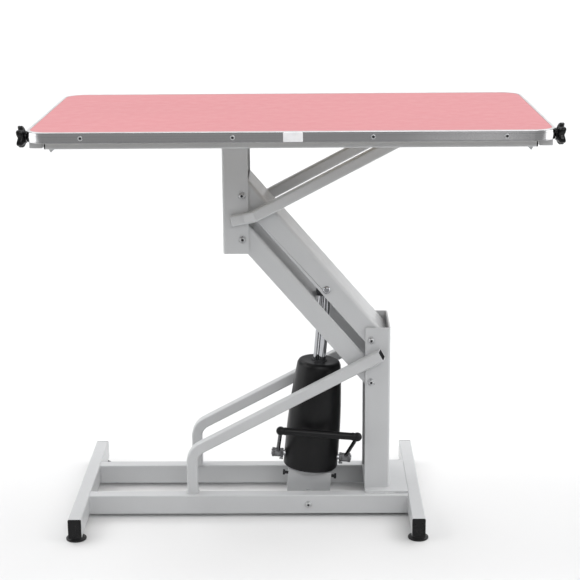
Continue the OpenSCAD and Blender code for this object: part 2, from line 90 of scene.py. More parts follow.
def axes_at(origin, across, up):
    """A frame whose X is across and whose Z is up, as a matrix."""
    across, up = Vector(across).normalized(), Vector(up).normalized()
    matrix = Matrix((across, up.cross(across), up)).transposed().to_4x4()
    return Matrix.Translation(origin) @ matrix


PUMP_UP = Vector(JOINTS["rod_slide"]["axis"])
PUMP = axes_at(pivot("pump_tilt"), Y.cross(PUMP_UP), PUMP_UP)


def extent(node, axes=Matrix(), keep=None):
    """Lowest and highest corners of a CAD node along a frame's axes, from the points that keep allows."""
    inverse = axes.inverted()
    points = [inverse @ vertex.co for vertex in NODES[node].data.vertices]
    points = [point for point in points if keep is None or keep(point)]
    low = Vector(min(point[i] for point in points) for i in range(3))
    high = Vector(max(point[i] for point in points) for i in range(3))
    return low, high


def cad_mesh(node):
    """A copy of a CAD node's mesh, with the corners that its faces share joined."""
    solid = bmesh.new()
    solid.from_mesh(NODES[node].data)
    bmesh.ops.remove_doubles(solid, verts=solid.verts, dist=SAME_POINT)
    return solid


def islands(node):
    """Lowest and highest corners of each separate solid in a CAD node."""
    solid = cad_mesh(node)
    seen, boxes = set(), []
    for vertex in solid.verts:
        if vertex in seen:
            continue
        seen.add(vertex)
        group = [vertex]
        for point in group:
            for edge in point.link_edges:
                other = edge.other_vert(point)
                if other not in seen:
                    seen.add(other)
                    group.append(other)
        low = Vector(min(point.co[i] for point in group) for i in range(3))
        high = Vector(max(point.co[i] for point in group) for i in range(3))
        boxes.append((low, high))
    solid.free()
    return boxes


def add_object(name, data):
    """A new object in the scene."""
    shape = bpy.data.objects.new(name, data)
    bpy.context.collection.objects.link(shape)
    return shape


# ---- Materials ----

# Noise seldom leaves this part of 0 to 1, so colours and gloss are spread over it.
NOISE_LOW, NOISE_SPAN = 0.3, 0.4


def map_range(tree, value, low, high, to_low, to_high):
    """A node that carries value from one range to another."""
    node = tree.nodes.new("ShaderNodeMapRange")
    for socket, number in (("From Min", low), ("From Max", high), ("To Min", to_low), ("To Max", to_high)):
        node.inputs[socket].default_value = number
    tree.links.new(value, node.inputs["Value"])
    return node.outputs["Result"]


class Shader:
    """A node material under construction: a Principled shader and short calls for what feeds it."""

    def __init__(self, name, colour, roughness, metallic=0.0, **sockets):
        self.material = bpy.data.materials.new(name)
        self.material.use_nodes = True
        self.material.diffuse_color = (*colour, 1)
        self.tree = self.material.node_tree
        self.main = self.tree.nodes["Principled BSDF"]
        self.main.inputs["Base Color"].default_value = (*colour, 1)
        self.main.inputs["Roughness"].default_value = roughness
        self.main.inputs["Metallic"].default_value = metallic
        for socket, value in sockets.items():
            self.main.inputs[socket.replace("_", " ").title()].default_value = value
        self.place = self.tree.nodes.new("ShaderNodeTexCoord").outputs["Object"]

    def stretched(self, scale):
        """Object coordinates, scaled by a different amount along each axis."""
        mapping = self.tree.nodes.new("ShaderNodeMapping")
        mapping.inputs["Scale"].default_value = scale
        self.tree.links.new(self.place, mapping.inputs["Vector"])
        return mapping.outputs["Vector"]

    def noise(self, scale, detail=3.0, roughness=0.5, stretch=None, distortion=0.0):
        node = self.tree.nodes.new("ShaderNodeTexNoise")
        node.inputs["Scale"].default_value = scale
        node.inputs["Detail"].default_value = detail
        node.inputs["Roughness"].default_value = roughness
        node.inputs["Distortion"].default_value = distortion
        self.tree.links.new(self.stretched(stretch) if stretch else self.place, node.inputs["Vector"])
        return node.outputs["Fac"]

    def cells(self, scale):
        node = self.tree.nodes.new("ShaderNodeTexVoronoi")
        node.inputs["Scale"].default_value = scale
        self.tree.links.new(self.place, node.inputs["Vector"])
        return node.outputs["Distance"]

    def sum(self, first, second, weight=1.0):
        """first + weight * second"""
        node = self.tree.nodes.new("ShaderNodeMath")
        node.operation = "MULTIPLY_ADD"
        node.inputs[1].default_value = weight
        self.tree.links.new(second, node.inputs[0])
        self.tree.links.new(first, node.inputs[2])
        return node.outputs["Value"]

    def colour_between(self, value, *colours):
        """The base colour runs through these colours as value crosses the noise's span."""
        ramp = self.tree.nodes.new("ShaderNodeValToRGB")
        stops = ramp.color_ramp.elements
        while len(stops) < len(colours):
            stops.new(0.5)
        for i, colour in enumerate(colours):
            stops[i].position = NOISE_LOW + NOISE_SPAN * i / (len(colours) - 1)
            stops[i].color = (*colour, 1)
        self.tree.links.new(value, ramp.inputs["Fac"])
        self.tree.links.new(ramp.outputs["Color"], self.main.inputs["Base Color"])

    def roughness_between(self, value, low, high):
        spread = map_range(self.tree, value, NOISE_LOW, NOISE_LOW + NOISE_SPAN, low, high)
        self.tree.links.new(spread, self.main.inputs["Roughness"])

    def bump(self, height, depth):
        """Raises the surface by up to depth metres where height is 1."""
        node = self.tree.nodes.new("ShaderNodeBump")
        node.inputs["Distance"].default_value = depth
        self.tree.links.new(height, node.inputs["Height"])
        self.tree.links.new(node.outputs["Normal"], self.main.inputs["Normal"])


def shade(colour, factor):
    return tuple(min(1.0, channel * factor) for channel in colour)


def powder_coat(name, colour, peel):
    """Baked paint: a fine orange peel, slightly uneven gloss and a faint drift of colour."""
    shader = Shader(name, colour, 0.4, coat_weight=0.3, coat_roughness=0.16)
    drift = shader.noise(7, 2)
    shader.colour_between(drift, shade(colour, 0.955), colour, shade(colour, 1.02))
    shader.roughness_between(shader.noise(55, 4), 0.36, 0.5)
    grain = shader.sum(shader.noise(420, 2), shader.noise(1500, 1), 0.35)
    shader.bump(grain, peel)
    return shader.material


def brushed(name, colour, roughness, brush):
    """Brushed metal: fine level lines, faint cloudiness and a directional gloss."""
    shader = Shader(name, colour, roughness, 1.0, anisotropic=0.6)
    streaks = shader.noise(28, 5, 0.65, stretch=(1, 1, 90))
    cloud = shader.noise(5, 3)
    mixed = shader.sum(cloud, streaks, 0.8)
    evened = map_range(shader.tree, mixed, 0.3, 1.5, 0.1, 0.9)
    shader.colour_between(evened, shade(colour, 0.86), colour, shade(colour, 1.08))
    shader.roughness_between(streaks, roughness - 0.07, roughness + 0.09)
    shader.bump(streaks, brush)
    return shader.material


def trim_metal():
    """Extruded aluminium, brushed along its length."""
    colour = (0.43, 0.43, 0.434)
    shader = Shader("brushed_aluminium", colour, 0.1, 1.0, anisotropic=0.95)
    streaks = shader.noise(26, 2, 0.5, stretch=(0.04, 0.04, 60))
    shader.colour_between(streaks, shade(colour, 0.8), colour, shade(colour, 1.15))
    shader.roughness_between(streaks, 0.08, 0.11)
    shader.bump(streaks, 0.000008)
    return shader.material


def trim_lip():
    """The trim's lip: a paler satin metal, painted light for the top faces as they catch the light from
    above.
    """
    colour = (0.60, 0.605, 0.605)
    shader = Shader("trim_lip", colour, 0.45, 0.3)
    lip_mottle = shader.noise(30, 4, 0.6)
    shader.colour_between(lip_mottle, shade(colour, 0.9), colour, shade(colour, 1.06))
    shader.roughness_between(lip_mottle, 0.36, 0.52)
    shader.bump(shader.noise(300, 2), 0.00001)
    return shader.material


def plated(name, colour, roughness, mottle):
    """Zinc or chrome plating: a mottled gloss and a faint bump."""
    shader = Shader(name, colour, roughness, 1.0)
    patches = shader.noise(90, 4, 0.6)
    shader.colour_between(patches, shade(colour, 1 - mottle), colour, shade(colour, 1 + mottle))
    shader.roughness_between(patches, roughness * 0.7, roughness * 1.35)
    shader.bump(shader.noise(600, 2), 0.00001)
    return shader.material


def moulded(name, colour, roughness, grain, depth, sheen=0.0, specular=0.3):
    """Moulded plastic or rubber with a fine grain and a slightly dusty, uneven gloss."""
    shader = Shader(name, colour, roughness)
    shader.main.inputs["Specular IOR Level"].default_value = specular
    dust = shader.noise(30, 5, 0.6)
    shader.colour_between(dust, colour, shade(colour, 1.15), shade(colour, 1.5))
    shader.roughness_between(dust, roughness - 0.06, roughness + 0.09)
    shader.bump(shader.sum(shader.noise(grain, 3), shader.cells(grain * 0.7), 0.4), depth)
    if sheen:
        shader.main.inputs["Sheen Weight"].default_value = sheen
    return shader.material


def mat_rubber():
    """The table's mat: soft pink rubber with a fine pebbled grain."""
    colour = (0.542, 0.214, 0.227)
    shader = Shader("pink_mat", colour, 0.6)
    shader.colour_between(shader.noise(3, 2), shade(colour, 0.985), colour, shade(colour, 1.012))
    pebbles = shader.cells(620)
    shader.bump(shader.sum(pebbles, shader.noise(900, 2), 0.4), 0.00002)
    shader.roughness_between(shader.noise(40, 4), 0.52, 0.66)
    return shader.material


def plywood():
    """The sealed underside of the board, with its grain along X."""
    colour = (0.46, 0.39, 0.31)
    shader = Shader("plywood", colour, 0.55)
    grain = shader.noise(9, 6, 0.6, stretch=(0.6, 14, 14), distortion=0.6)
    shader.colour_between(grain, shade(colour, 0.62), shade(colour, 0.95), shade(colour, 1.15))
    shader.roughness_between(grain, 0.48, 0.62)
    shader.bump(grain, 0.00012)
    return shader.material


GREY = (0.50, 0.506, 0.512)
BLACK = (0.006, 0.006, 0.0065)
MATERIALS = {
    "grey_paint": powder_coat("grey_paint", GREY, 0.00006),
    "weld_paint": powder_coat("weld_paint", shade(GREY, 0.97), 0.0003),
    "black_paint": moulded("black_paint", BLACK, 0.33, 1200, 0.000006, specular=0.2),
    "black_plastic": moulded("black_plastic", shade(BLACK, 0.8), 0.18, 900, 0.00002, specular=0.22),
    "black_rubber": moulded("black_rubber", shade(BLACK, 0.9), 0.5, 500, 0.00008, sheen=0.1),
    "zinc": plated("zinc", (0.47, 0.475, 0.48), 0.3, 0.12),
    "pump_steel": brushed("pump_steel", (0.30, 0.30, 0.31), 0.34, 0.00004),
    "chrome": plated("chrome", (0.42, 0.425, 0.44), 0.07, 0.04),
    "arm_steel": plated("arm_steel", (0.085, 0.085, 0.09), 0.2, 0.5),
    # The clamps' chrome is far darker than the rods' chrome: painted shade for the dark surroundings they
    # mirror.
    "clamp_chrome_painted_shade": plated("clamp_chrome_painted_shade", (0.13, 0.13, 0.135), 0.12, 0.5),
    "white_nylon": moulded("white_nylon", (0.58, 0.58, 0.56), 0.45, 700, 0.00003),
    "board": plywood(),
    "pink_mat": mat_rubber(),
    "brushed_aluminium": trim_metal(),
    "trim_lip": trim_lip(),
    # Near-black steel: the dark metal of some parts, and painted shade in sockets, recesses, notches and
    # the insides of tubes.
    "dark_steel_and_painted_shade": moulded("dark_steel_and_painted_shade", (0.03, 0.03, 0.032), 0.6, 500, 0.00003),
    "blank_label": moulded("blank_label", (0.80, 0.80, 0.81), 0.32, 900, 0.00001),
}

# CAD nodes whose metal is darker in the photograph than their slot's own finish
# The rod head's darker metal is painted shade, for the shade it sits in.
DARKENED = {"cradle_bolts": "dark_steel_and_painted_shade", "rod_head": "arm_steel", "gland_plate": "dark_steel_and_painted_shade"}


def finish_of(part):
    """A CAD node's material: its slot's own, or a darker one where the part looks darker; on the rod head
    the darker metal is painted shade.
    """
    return MATERIALS[DARKENED.get(part["node"], part["material_slot"])]


def dress_nodes():
    """Every CAD node that stays gets its finish."""
    for part in frame["record"]["subparts"]:
        slots = NODES[part["node"]].data.materials
        if not slots:
            slots.append(None)
        for i in range(len(slots)):
            slots[i] = finish_of(part)


# ---- Mesh building ----

def skin(rings, loop=False, second=()):
    """A closed surface over rings of points; a loop's last ring meets its first one.
    The bands numbered in second take the piece's second material; the lower cap goes with band 0."""
    mesh = bmesh.new()
    rows = [[mesh.verts.new(point) for point in ring] for ring in rings]
    pairs = list(zip(rows, rows[1:]))
    if loop:
        pairs.append((rows[-1], rows[0]))
    for band, (lower, upper) in enumerate(pairs):
        for i in range(len(lower)):
            j = (i + 1) % len(lower)
            face = mesh.faces.new((lower[i], lower[j], upper[j], upper[i]))
            face.material_index = int(band in second)
    if not loop:
        mesh.faces.new(list(reversed(rows[0]))).material_index = int(0 in second)
        mesh.faces.new(rows[-1])
    return mesh


def round_points(width, height, radius):
    """Outline of a rectangle with round corners, anticlockwise."""
    steps = 5
    points = []
    for corner in range(4):
        turn = math.radians(90 * corner)
        right, upper = (1, -1, -1, 1)[corner], (1, 1, -1, -1)[corner]
        for i in range(steps + 1):
            angle = turn + math.radians(90) * i / steps
            points.append((right * (width / 2 - radius) + radius * math.cos(angle),
                           upper * (height / 2 - radius) + radius * math.sin(angle)))
    return points


def circle_points(radius, sides):
    return [(radius * math.cos(2 * math.pi * i / sides), radius * math.sin(2 * math.pi * i / sides))
            for i in range(sides)]


def ring_at(axes, outline, height=0.0):
    return [axes @ Vector((a, b, height)) for a, b in outline]


def loft(axes, levels, second=()):
    """A solid through rounded rectangles: each level is (width, height, radius, distance along Z)."""
    return skin([ring_at(axes, round_points(w, h, r), z) for w, h, r, z in levels], second=second)


def lathe(axes, profile, sides=40):
    """A solid of revolution about Z: the profile is a list of (radius, height)."""
    return skin([ring_at(axes, circle_points(radius, sides), height) for radius, height in profile])


def threaded(radius, low, high, pitch=0.00125, depth=0.0005):
    """Profile of a stud's thread between two heights."""
    steps = 2 * int((high - low) / pitch)
    return [(radius - (depth if i % 2 else 0), low + (high - low) * i / steps) for i in range(steps + 1)]


def piece(name, body, material, solids, nodes=(), smooth=32, second=None):
    """Joins solids into one piece, shades it, gives it its body and material, and hides the CAD nodes it
    stands for.
    """
    mesh = bpy.data.meshes.new(name)
    joined = bmesh.new()
    for solid in solids:
        bmesh.ops.recalc_face_normals(solid, faces=solid.faces)
        solid.to_mesh(mesh)
        solid.free()
        joined.from_mesh(mesh)
    joined.to_mesh(mesh)
    joined.free()
    mesh.materials.append(MATERIALS[material])
    if second:
        mesh.materials.append(MATERIALS[second])
    shape = add_object(name, mesh)
    polish(shape, smooth)
    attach(shape, body)
    if nodes:
        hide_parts(*nodes)
    return shape


def polish(shape, smooth):
    """Smooth shading across soft angles, with broad faces kept flat."""
    mesh = shape.data
    mesh.shade_smooth()
    mesh.set_sharp_from_angle(angle=math.radians(smooth))
    weighted = shape.modifiers.new("weighted", "WEIGHTED_NORMAL")
    weighted.keep_sharp = True
    settle(shape)


def settle(shape):
    """Applies a piece's modifiers."""
    graph = bpy.context.evaluated_depsgraph_get()
    mesh = bpy.data.meshes.new_from_object(shape.evaluated_get(graph))
    shape.modifiers.clear()
    shape.data = mesh


def eased(node, width):
    """Stands for a CAD node with the same shape and eased edges, as folded or machined metal has."""
    flat_angle, edge_angle, soft_angle = 0.5, 34, 32
    part = next(part for part in frame["record"]["subparts"] if part["node"] == node)
    solid = cad_mesh(node)
    bmesh.ops.dissolve_limit(solid, angle_limit=math.radians(flat_angle), verts=solid.verts,
                             edges=solid.edges)
    mesh = bpy.data.meshes.new(node + "_eased")
    solid.to_mesh(mesh)
    solid.free()
    for name in [attribute.name for attribute in mesh.attributes if attribute.name == "custom_normal"]:
        mesh.attributes.remove(mesh.attributes[name])
    mesh.materials.append(finish_of(part))
    shape = add_object(node + "_eased", mesh)
    bevel = shape.modifiers.new("bevel", "BEVEL")
    bevel.width = width
    bevel.segments = 2
    bevel.limit_method = "ANGLE"
    bevel.angle_limit = math.radians(edge_angle)
    bevel.use_clamp_overlap = False
    bevel.miter_outer = "MITER_ARC"
    settle(shape)
    polish(shape, soft_angle)
    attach(shape, NODES[node]["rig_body"])
    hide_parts(node)


# ---- Base and frame ----

STAY_WALL = 0.002
STAY_ROUND = 0.0045


def bent_path(start, heading, straight, bend, turn, run):
    """Points and headings of a bar in the XZ plane: a straight, an arc through turn, and a straight."""
    steps = 14
    way = Vector((math.cos(heading), 0, math.sin(heading)))
    corner = Vector(start) + straight * way
    sign = 1 if turn > 0 else -1
    centre = corner + sign * bend * Vector((-way.z, 0, way.x))
    spots = [(Vector(start), way)]
    for i in range(steps + 1):
        angle = heading + turn * i / steps
        ahead = Vector((math.cos(angle), 0, math.sin(angle)))
        spots.append((centre - sign * bend * Vector((-ahead.z, 0, ahead.x)), ahead))
    spots.append((spots[-1][0] + run * spots[-1][1], spots[-1][1]))
    return spots


def sections(path, outlines):
    """A ring for each spot of a path, its first axis along Y and its second square to the path."""
    rings = []
    for (spot, ahead), outline in zip(path, outlines):
        normal = Vector((-ahead.z, 0, ahead.x))
        rings.append([spot + a * Y + b * normal for a, b in outline])
    return rings


def mitre(ring, ahead, spot, normal):
    """Runs a ring's points along the bar until they meet a plane."""
    return [point + ahead * ((spot - point).dot(normal) / ahead.dot(normal)) for point in ring]


def stays():
    """Bent square tubes from the rails to the column; each upper end is an open slanting cut."""
    rise, bend, straight, plan = math.radians(28), 0.040, 0.076, math.radians(17)
    run, cut_ahead, cut_below = 0.42, 0.023, 0.030
    level = math.cos(rise)
    for side, node in ((-1, "stay_front"), (1, "stay_rear")):
        low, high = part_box(node)
        half = (high.y - low.y) / 2
        middle = (high.y + low.y) / 2
        start = Vector((low.x + half, middle, low.z))
        path = bent_path(start, math.radians(90), straight, bend, rise - math.radians(90), run)
        cut = Vector((pivot("lift").x + cut_ahead, middle, pivot("lift").z - cut_below))
        facing = Vector((level * math.cos(plan), side * level * math.sin(plan), math.sin(rise)))
        walls = []
        for inset in (0, STAY_WALL):
            outline = round_points(2 * (half - inset), 2 * (half - inset), STAY_ROUND - inset)
            rings = sections(path, [outline] * len(path))
            rings[-1] = mitre(rings[-1], path[-1][1], cut, facing)
            walls.append(rings)
        count = len(path)
        # The inner walls take the near-black steel: the tube's bare inside, darkened as painted shade for
        # its deep hollow.
        tube = skin(walls[0] + walls[1][::-1], loop=True, second=range(count, 2 * count - 1))
        piece(node + "_tube", "base", "grey_paint", [tube], [node], second="dark_steel_and_painted_shade")


def brace_tubes():
    """Struts under the frame; each foot is pressed flat against the column's side and closed."""
    foot_angle, angle, bend, foot_run, run = math.radians(10), math.radians(27.6), 0.100, 0.030, 0.5
    tip_places = (0, 0.0012, 0.004, 0.012)
    tip_heights, tip_widths = (0.72, 0.9, 1, 1), (0.36, 0.46, 0.5, 0.52)
    pressed, opening, rounding, roundest = 0.55, 12, 0.003, 0.42
    foot_behind, foot_below = 0.026, 0.056
    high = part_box("braces")[1]
    head = pivot("head_pivot")
    start = Vector((head.x - foot_behind, 0, head.z - foot_below))
    column_half = -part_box("head_column")[0].y
    width = high.y - column_half
    tubes = []
    for side in (-1, 1):
        path = bent_path(start + side * (column_half + width / 2) * Y, foot_angle, foot_run, bend,
                         angle - foot_angle, run)
        tip, ahead = path[0]
        path = [(tip + place * ahead, ahead) for place in tip_places] + path[1:]
        outlines = []
        for i in range(len(path)):
            at_tip = i < len(tip_places)
            opened = 0 if at_tip else min(1, (i - len(tip_places)) / opening)
            tall = width * (tip_heights[i] if at_tip else 1)
            thin = width * (tip_widths[i] if at_tip else pressed + (1 - pressed) * opened)
            shift = side * (thin - width) / 2
            radius = min(STAY_ROUND + rounding * (1 - opened), thin * roundest)
            outlines.append([(a + shift, b) for a, b in round_points(thin, tall, radius)])
        rings = sections(path, outlines)
        rings[-1] = mitre(rings[-1], path[-1][1], Vector((0, 0, high.z)), Z)
        tubes.append(skin(rings))
    piece("brace_tubes", "head", "grey_paint", tubes, ["braces"])


def plug(axes, width, height, cap, depth):
    """A tube's end cap: a rounded face with a shallow well, and a ribbed plug behind it."""
    wall, edge, well = 0.0022, 0.0009, 0.0035
    plug_r, cap_r, ribs = 0.001, 0.003, 4
    steps = [(2 * wall + 0.001, plug_r, -depth)]
    for i in range(ribs):
        for inset, share in ((0.0, 0.1), (0.0, 0.5), (0.0006, 0.6), (0.0006, 1.0)):
            steps.append((2 * wall + 2 * inset, plug_r, -depth * (1 - (i + share) / (ribs + 0.3))))
    steps += [(2 * wall, plug_r, 0), (0, cap_r, 0), (0, cap_r, cap - edge),
              (0.7 * edge, cap_r, cap - 0.3 * edge), (2 * edge, 0.0025, cap), (2 * well, 0.002, cap),
              (2 * well + 0.001, 0.002, cap - 0.0007)]
    return loft(axes, [(width - less, height - less, radius, z) for less, radius, z in steps])


def rail_plugs():
    """End caps for the foot rails and the underframe's long rails."""
    cap, depth = 0.003, 0.009
    plugs = []
    for rail in ("foot_rail_left", "foot_rail_right"):
        rail_low, rail_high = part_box(rail)
        middle = (rail_low + rail_high) / 2
        for end, facing in ((rail_low.y, -Y), (rail_high.y, Y)):
            axes = axes_at((middle.x, end, middle.z), Z.cross(facing), facing)
            plugs.append(plug(axes, rail_high.x - rail_low.x, rail_high.z - rail_low.z, cap, depth))
    piece("foot_rail_caps", "base", "black_plastic", plugs, ["foot_rail_plugs"])

    plugs = []
    rails_low, rails_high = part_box("frame_rails")
    for end, facing in ((rails_low.x, -X), (rails_high.x, X)):
        for y in (rails_low.y + FRAME_TUBE / 2, rails_high.y - FRAME_TUBE / 2):
            axes = axes_at((end, y, (rails_low.z + rails_high.z) / 2), Z.cross(facing), facing)
            plugs.append(plug(axes, FRAME_TUBE, rails_high.z - rails_low.z, cap, depth))
    piece("frame_rail_caps", "head", "black_plastic", plugs, ["frame_plugs"])


def levelling_feet():
    """A turned pad with a rounded rim and a step, on a threaded stud."""
    for node in ("foot_front_left", "foot_front_right", "foot_rear_left", "foot_rear_right"):
        low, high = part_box(node)
        radius = (high.x - low.x) / 2
        axes = Matrix.Translation(((low.x + high.x) / 2, (low.y + high.y) / 2, low.z))
        top = high.z - low.z
        pad_top = 0.0079
        profile = [(radius * 0.6, 0.0006), (radius * 0.64, 0), (radius - 0.0012, 0),
                   (radius - 0.0003, 0.0004), (radius, 0.0012), (radius, 0.0031),
                   (radius - 0.0004, 0.0038), (radius - 0.0012, 0.0042), (radius * 0.87, 0.0045),
                   (radius * 0.82, 0.0049), (radius * 0.79, 0.0068), (radius * 0.75, 0.0077),
                   (radius * 0.7, pad_top), (0.0054, pad_top)]
        profile += threaded(0.005, pad_top, top - 0.0012) + [(0.0036, top)]
        piece(node + "_pad", node, "black_rubber", [lathe(axes, profile, 56)], [node])


def button_bolts(name, body, node, places):
    """Dome-headed bolts along Y, with a hexagon socket and a threaded end."""
    low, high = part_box(node)
    shank, socket_r, sides = 0.006, 0.0031, 48
    per_side = sides // 6
    corners = [Vector(corner) for corner in circle_points(socket_r, 6)]
    hexagon = []
    for i in range(sides):
        start, share = i // per_side, (i % per_side) / per_side
        hexagon.append(tuple(corners[start].lerp(corners[(start + 1) % 6], share)))
    bottom = [(0.7 * a, 0.7 * b) for a, b in hexagon]
    bolts = []
    for x, z in places:
        axes = axes_at((x, low.y, z), X, Y)
        rings = [ring_at(axes, bottom, 0.0032), ring_at(axes, hexagon, 0.003),
                 ring_at(axes, hexagon, 0.0001), ring_at(axes, circle_points(0.0046, sides), 0)]
        dome = [(0.0056, 0.0006), (0.0064, 0.0014), (0.0068, 0.0024), (0.0068, 0.0033), (0.0086, 0.0034),
                (0.009, 0.0038), (0.009, 0.005), (shank, 0.005)]
        end = high.y - low.y
        shaft = threaded(shank, end - 0.016, end - 0.001)
        for radius, height in dome + shaft + [(shank - 0.001, end)]:
            rings.append(ring_at(axes, circle_points(radius, sides), height))
        # The socket's floor and walls take the near-black steel: painted shade in the recess.
        bolts.append(skin(rings, second=(0, 1)))
    piece(name, body, "zinc", bolts, [node], second="dark_steel_and_painted_shade")


def pin_caps():
    """Domed nuts that close the ends of the rod pin."""
    solids = []
    for low, high in islands("rod_pin_nut"):
        facing = Y * math.copysign(1, low.y + high.y)
        inner, outer = sorted((low.y, high.y), key=abs)
        axes = axes_at(((low.x + high.x) / 2, inner, (low.z + high.z) / 2), Z.cross(facing), facing)
        radius, tall = (high.z - low.z) / 2, abs(outer - inner)
        rim = 0.0016
        profile = [(radius * 0.6, 0), (radius, 0), (radius, rim * 0.6), (radius * 0.96, rim),
                   (radius * 0.8, rim)]
        for i in range(9):
            angle = math.radians(10 * i)
            profile.append((radius * 0.74 * math.cos(angle), rim + (tall - rim) * math.sin(angle)))
        solids.append(lathe(axes, profile + [(0.0004, tall)], 48))
    piece("rod_pin_caps", "upper_arm", "chrome", solids, ["rod_pin_nut"], smooth=50)


def weld(points, radius):
    """A bead of weld along a line, with the ripples of its puddles."""
    step, ripple = 0.0012, 0.0042
    travelled = 0.0
    for start, end in zip(points, points[1:]):
        start, end = Vector(start), Vector(end)
        count = max(2, int((end - start).length / step))
        axes = axes_at(start, (end - start).orthogonal(), end - start)
        rings = []
        for i in range(count + 1):
            along = (end - start).length * i / count
            phase = 2 * math.pi * (travelled + along) / ripple
            taper = min(1.0, 0.45 + min(along, (end - start).length - along) / (3 * radius))
            size = radius * taper * (1 + 0.13 * math.sin(phase) + 0.07 * math.sin(0.37 * phase + 1))
            rings.append(ring_at(axes, circle_points(size, 7), along))
        travelled += (end - start).length
        yield skin(rings)


def welds():
    """Beads where the base's and the head's tubes, plates and columns meet."""
    bead = 0.0024
    beads = []
    low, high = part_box("base_column")
    z = low.z + 0.0006
    beads += weld([(low.x, low.y, z), (high.x - 0.006, low.y, z)], bead)
    beads += weld([(high.x, low.y + 0.006, z), (high.x, high.y - 0.006, z)], bead)
    beads += weld([(high.x - 0.006, high.y, z), (low.x, high.y, z)], bead)
    plate_low, plate_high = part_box("column_plate")
    for y in (plate_low.y, plate_high.y):
        beads += weld([(plate_low.x + 0.004, y, plate_low.z), (plate_low.x + 0.034, y, plate_low.z)], bead)
        beads += weld([(plate_high.x - 0.075, y, plate_low.z), (plate_high.x - 0.03, y, plate_low.z)], bead)
    for node in ("stay_front", "stay_rear"):
        low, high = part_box(node)
        right = low.x + (high.y - low.y)
        z = low.z + 0.0006
        beads += weld([(low.x, low.y + 0.003, z), (low.x, high.y - 0.003, z)], bead)
        beads += weld([(right, low.y + 0.003, z), (right, high.y - 0.003, z)], bead)
        beads += weld([(low.x + 0.003, low.y, z), (right - 0.003, low.y, z)], bead * 0.8)
        beads += weld([(low.x + 0.003, high.y, z), (right - 0.003, high.y, z)], bead * 0.8)
    for node in ("base_rail_front", "base_rail_rear"):
        low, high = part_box(node)
        for x in (low.x, high.x):
            for y in (low.y, high.y):
                beads += weld([(x, y, low.z + 0.004), (x, y, high.z - 0.004)], bead)
            beads += weld([(x, low.y + 0.003, low.z), (x, high.y - 0.003, low.z)], bead)
    piece("base_welds", "base", "weld_paint", beads)

    beads = []
    low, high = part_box("head_column")
    z = high.z - 0.0006
    beads += weld([(low.x + 0.006, low.y, z), (high.x, low.y, z)], bead)
    beads += weld([(low.x, low.y + 0.006, z), (low.x, high.y - 0.006, z)], bead)
    beads += weld([(low.x + 0.006, high.y, z), (high.x, high.y, z)], bead)
    rails_low, rails_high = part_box("cross_rails")
    for x in (rails_low.x, rails_high.x - FRAME_TUBE):
        for y in (rails_low.y, rails_high.y):
            beads += weld([(x + 0.004, y, rails_low.z), (x + FRAME_TUBE - 0.004, y, rails_low.z)], bead)
    piece("head_welds", "head", "weld_paint", beads)


# ---- Table top ----

CORNER = 0.050


def edge_walk():
    """Points and outward directions round the table top's edge."""
    low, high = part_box("edge_trim")
    steps = 14
    walk = []
    for corner in range(4):
        right, back = (1, -1, -1, 1)[corner], (1, 1, -1, -1)[corner]
        centre = Vector(((high.x if right > 0 else low.x) - right * CORNER,
                         (high.y if back > 0 else low.y) - back * CORNER, 0))
        for i in range(steps + 1):
            angle = math.radians(90 * corner + 90 * i / steps)
            outward = Vector((math.cos(angle), math.sin(angle), 0))
            walk.append((centre + CORNER * outward, outward))
    return walk


def trim():
    """The aluminium edge: one extrusion bent round the board, with a rolled lip and a bead at its foot."""
    low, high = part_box("edge_trim")
    drop = high.z - low.z
    wall, lip, round_r, thick, set_back, lip_depth = 0.0025, 0.007, 0.0024, 0.001, 0.0003, 0.0014
    profile = [(wall, drop), (0.0006, drop), (0.0002, drop - 0.0002), (0, drop - 0.0006),
               (0, drop - 0.0022), (set_back, drop - 0.0026), (set_back, round_r)]
    for i in range(1, 7):
        angle = math.radians(90 * i / 6)
        profile.append((round_r - (round_r - set_back) * math.cos(angle), round_r * (1 - math.sin(angle))))
    profile += [(lip - 0.0006, 0), (lip - 0.0001, 0.0002), (lip, 0.0005), (lip - 0.0002, thick),
                (wall + 0.0004, thick), (wall, thick + 0.0004)]
    rings = [[spot - inset * outward + (high.z - down) * Z for inset, down in profile]
             for spot, outward in edge_walk()]
    extrusion = skin(rings, loop=True)
    # The lip's faces at the top take the paler metal: painted light for the top catching the light from
    # above.
    for face in extrusion.faces:
        face.material_index = int(face.calc_center_median().z > high.z - lip_depth)
    piece("trim_extrusion", "head", "brushed_aluminium", [extrusion], ["edge_trim"], smooth=50,
          second="trim_lip")


def mat():
    """The mat: its edge runs under the lip, and its middle stands a little higher."""
    low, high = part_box("table_mat")
    thick = high.z - low.z
    swell = 0.0006
    edge = thick - swell
    levels = [(0.0026, 0), (0.0025, edge - 0.0003), (0.0029, edge), (0.0071, edge),
              (0.0075, thick - swell * 0.7), (0.0081, thick - swell * 0.25),
              (0.0092, thick - swell * 0.04), (0.0110, thick)]
    rings = [[spot - inset * outward + (low.z + height) * Z for spot, outward in edge_walk()]
             for inset, height in levels]
    piece("rubber_mat", "head", "pink_mat", [skin(rings)], ["table_mat"], smooth=60)


